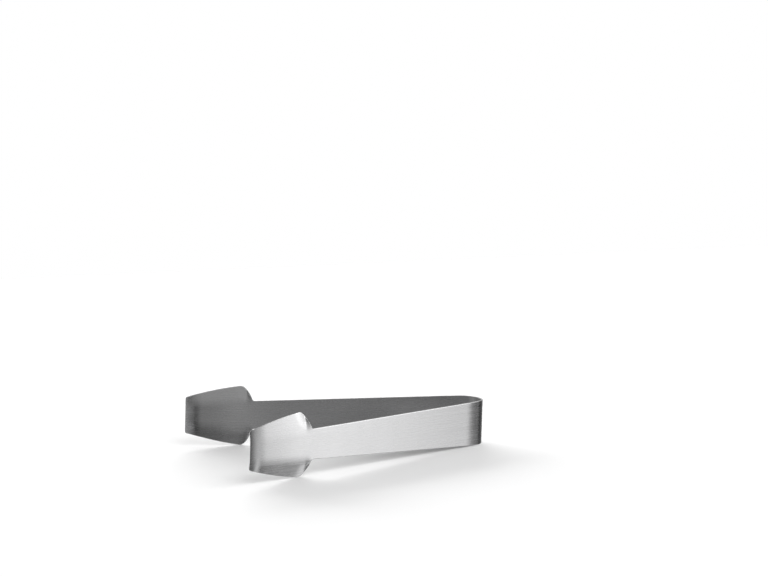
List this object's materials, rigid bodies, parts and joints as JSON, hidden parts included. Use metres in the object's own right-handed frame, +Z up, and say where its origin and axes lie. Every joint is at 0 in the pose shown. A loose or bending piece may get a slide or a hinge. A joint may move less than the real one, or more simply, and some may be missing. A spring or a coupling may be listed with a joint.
{
  "type": "ice tongs",
  "caption": "Spring tongs of one brushed steel strip, bent into a U bow, with tapering arms that end in pressed scoop jaws for ice cubes.",
  "frame": {"origin": "on the surface that the tongs lie on, under the middle of their outline", "axes": "+X from the jaws to the bow, +Y from the left arm to the right arm, +Z up, across the strip as the tongs lie on edge"},
  "size_m": [0.1542, 0.1078, 0.0329],
  "materials": {
    "stainless": "satin, with a fine grain along the strip"
  },
  "bodies": {
    "bow": {"bow": "stainless"},
    "left_root": {"left_root": "stainless"},
    "left_shank": {"left_shank": "stainless"},
    "left_arm": {"left_grip": "stainless", "left_jaw": "stainless"},
    "right_root": {"right_root": "stainless"},
    "right_shank": {"right_shank": "stainless"},
    "right_arm": {"right_grip": "stainless", "right_jaw": "stainless"}
  },
  "joints": [
    {"name": "left_bow_flex", "type": "hinge", "parent": "bow", "child": "left_root", "pos_m": [0.0678, -0.01128, 0.01231], "axis": [-0.0354, 0, -0.9994], "range_deg": [0, 6.35], "stiffness_Nm_per_rad": 25.6},
    {"name": "left_root_flex", "type": "hinge", "parent": "left_root", "child": "left_shank", "pos_m": [0.05346, -0.01567, 0.01281], "axis": [-0.0354, 0, -0.9994], "range_deg": [0, 9.42], "stiffness_Nm_per_rad": 13.2},
    {"name": "left_arm_flex", "type": "hinge", "parent": "left_shank", "child": "left_arm", "pos_m": [0.02384, -0.02473, 0.01386], "axis": [-0.0354, 0, -0.9994], "range_deg": [0, 7.44], "stiffness_Nm_per_rad": 8.6},
    {"name": "right_bow_flex", "type": "hinge", "parent": "bow", "child": "right_root", "pos_m": [0.0678, 0.01128, 0.01231], "axis": [0.0354, 0, 0.9994], "range_deg": [0, 6.35], "stiffness_Nm_per_rad": 25.6},
    {"name": "right_root_flex", "type": "hinge", "parent": "right_root", "child": "right_shank", "pos_m": [0.05346, 0.01567, 0.01281], "axis": [0.0354, 0, 0.9994], "range_deg": [0, 9.42], "stiffness_Nm_per_rad": 13.2},
    {"name": "right_arm_flex", "type": "hinge", "parent": "right_shank", "child": "right_arm", "pos_m": [0.02384, 0.02473, 0.01386], "axis": [0.0354, 0, 0.9994], "range_deg": [0, 7.44], "stiffness_Nm_per_rad": 8.6}
  ],
  "couplings": [
    {"joint": "left_root_flex", "follows": "left_bow_flex", "ratio": 1.484},
    {"joint": "left_arm_flex", "follows": "left_bow_flex", "ratio": 1.171},
    {"joint": "right_bow_flex", "follows": "left_bow_flex", "ratio": 1},
    {"joint": "right_root_flex", "follows": "left_bow_flex", "ratio": 1.484},
    {"joint": "right_arm_flex", "follows": "left_bow_flex", "ratio": 1.171}
  ]
}
